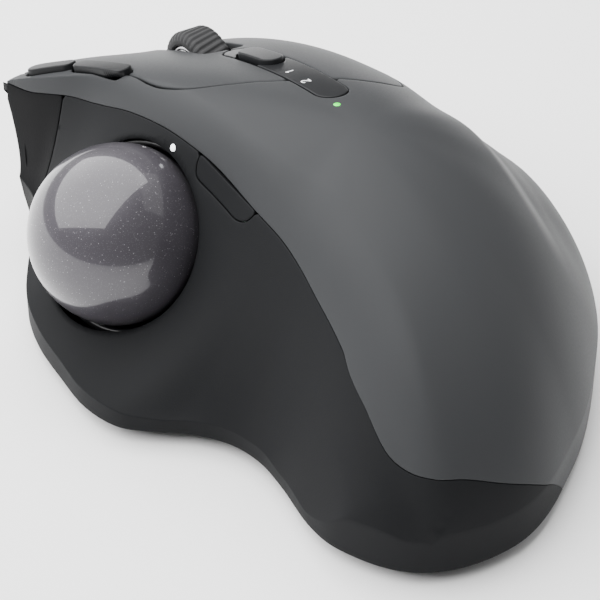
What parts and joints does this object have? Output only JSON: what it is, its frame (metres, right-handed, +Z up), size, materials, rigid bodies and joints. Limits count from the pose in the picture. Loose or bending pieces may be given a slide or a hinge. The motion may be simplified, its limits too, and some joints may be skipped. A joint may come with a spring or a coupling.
{
  "type": "trackball mouse",
  "caption": "Thumb-operated trackball mouse: sculpted palm-rest shell, finger keys, tilting scroll wheel, side keys and a hinged magnetic base plate.",
  "frame": {"origin": "middle of the footprint, at the underside of the base plate's rubber pad", "axes": "+Y towards the front, where the fingers rest; +X to the right, away from the thumb; +Z up"},
  "size_m": [0.0994, 0.1347, 0.0508],
  "materials": {
    "shell_satin": "satin graphite, softly textured",
    "thumb_rubber": "matt soft-touch charcoal",
    "casing_matte": "fine matt near-black",
    "strip_satin": "smooth satin black",
    "side_key": "satin dark grey",
    "light_green": "clear green",
    "light_white": "clear white",
    "steel": "turned steel",
    "magnet": "plated",
    "cup_gloss": "smooth black",
    "stud": "polished ceramic",
    "lens": "clear",
    "inner_black": "moulded black",
    "board_green": "lacquered board",
    "socket_metal": "plain pressed",
    "battery_wrap": "foil",
    "plate_metal": "dark powder coat",
    "pad_rubber": "matt ribbed",
    "ball_gloss": "polished, fine mineral sparkle",
    "slider_plastic": "matt green",
    "rim_polished": "polished",
    "tyre_rubber": "matt, ribbed"
  },
  "bodies": {
    "base": {"tilt_plate": "plate_metal", "plate_pad": "pad_rubber"},
    "body": {"top_shell": "shell_satin", "thumb_panel": "thumb_rubber", "cheek_panel": "casing_matte", "centre_strip": "strip_satin", "battery_light": "light_green", "power_light": "light_white", "lower_casing": "casing_matte", "hinge_pin": "steel", "board_screw_1": "steel", "board_screw_2": "steel", "board_screw_3": "steel", "board_screw_4": "steel", "plate_magnet_1": "magnet", "plate_magnet_2": "magnet", "ball_cup": "cup_gloss", "bearing_stud_1": "stud", "bearing_stud_2": "stud", "bearing_stud_3": "stud", "sensor_lens": "lens", "ball_sensor": "inner_black", "main_board": "board_green", "left_switch": "inner_black", "right_switch": "inner_black", "middle_switch": "inner_black", "back_switch": "inner_black", "forward_switch": "inner_black", "device_switch": "inner_black", "precision_switch": "inner_black", "charging_socket": "socket_metal", "battery": "battery_wrap"},
    "left_key": {"left_button": "shell_satin"},
    "right_key": {"right_button": "shell_satin"},
    "back_key": {"back_button": "side_key"},
    "forward_key": {"forward_button": "side_key"},
    "device_key": {"device_button": "strip_satin"},
    "precision_key": {"precision_button": "side_key"},
    "ball_body": {"ball": "ball_gloss"},
    "power_body": {"power_slider": "slider_plastic"},
    "cradle": {"wheel_cradle": "inner_black"},
    "yoke": {"wheel_yoke": "inner_black", "wheel_axle": "steel", "wheel_encoder": "inner_black"},
    "wheel": {"wheel_rim": "rim_polished", "wheel_tyre": "tyre_rubber"}
  },
  "joints": [
    {"name": "plate_tilt", "type": "hinge", "parent": "base", "child": "body", "pos_m": [0.03861, -0.0059, 0.0036], "axis": [0, 1, 0], "range_deg": [0, 20]},
    {"name": "left_press", "type": "hinge", "parent": "body", "child": "left_key", "pos_m": [-0.00579, 0.0231, 0.04671], "axis": [-1, 0, 0], "range_deg": [0, 0.7], "stiffness_Nm_per_rad": 1.2},
    {"name": "right_press", "type": "hinge", "parent": "body", "child": "right_key", "pos_m": [0.01621, 0.0131, 0.04562], "axis": [-1, 0, 0], "range_deg": [0, 0.7], "stiffness_Nm_per_rad": 1.2},
    {"name": "back_press", "type": "slide", "parent": "body", "child": "back_key", "axis": [0, 0, -1], "range_m": [0, 0.0005], "stiffness_N_per_m": 1200},
    {"name": "forward_press", "type": "slide", "parent": "body", "child": "forward_key", "axis": [0, 0, -1], "range_m": [0, 0.0005], "stiffness_N_per_m": 1200},
    {"name": "device_press", "type": "slide", "parent": "body", "child": "device_key", "axis": [0, 0, -1], "range_m": [0, 0.0005], "stiffness_N_per_m": 1200},
    {"name": "precision_press", "type": "slide", "parent": "body", "child": "precision_key", "axis": [0.902, 0.0928, -0.4216], "range_m": [0, 0.0005], "stiffness_N_per_m": 1200},
    {"name": "ball_roll", "type": "hinge", "parent": "body", "child": "ball_body", "pos_m": [-0.03169, 0.0201, 0.024], "axis": [0, 1, 0], "continuous": true},
    {"name": "power_slide", "type": "slide", "parent": "body", "child": "power_body", "axis": [1, 0, 0], "range_m": [0, 0.004]},
    {"name": "wheel_press", "type": "slide", "parent": "body", "child": "cradle", "axis": [0, 0, -1], "range_m": [0, 0.0005], "stiffness_N_per_m": 1200},
    {"name": "wheel_tilt", "type": "hinge", "parent": "cradle", "child": "yoke", "pos_m": [0.00441, 0.0537, 0.01232], "axis": [0, 1, 0], "range_deg": [-3, 3], "stiffness_Nm_per_rad": 0.5},
    {"name": "wheel_roll", "type": "hinge", "parent": "yoke", "child": "wheel", "pos_m": [0.00441, 0.0537, 0.02532], "axis": [1, 0, 0], "continuous": true}
  ]
}
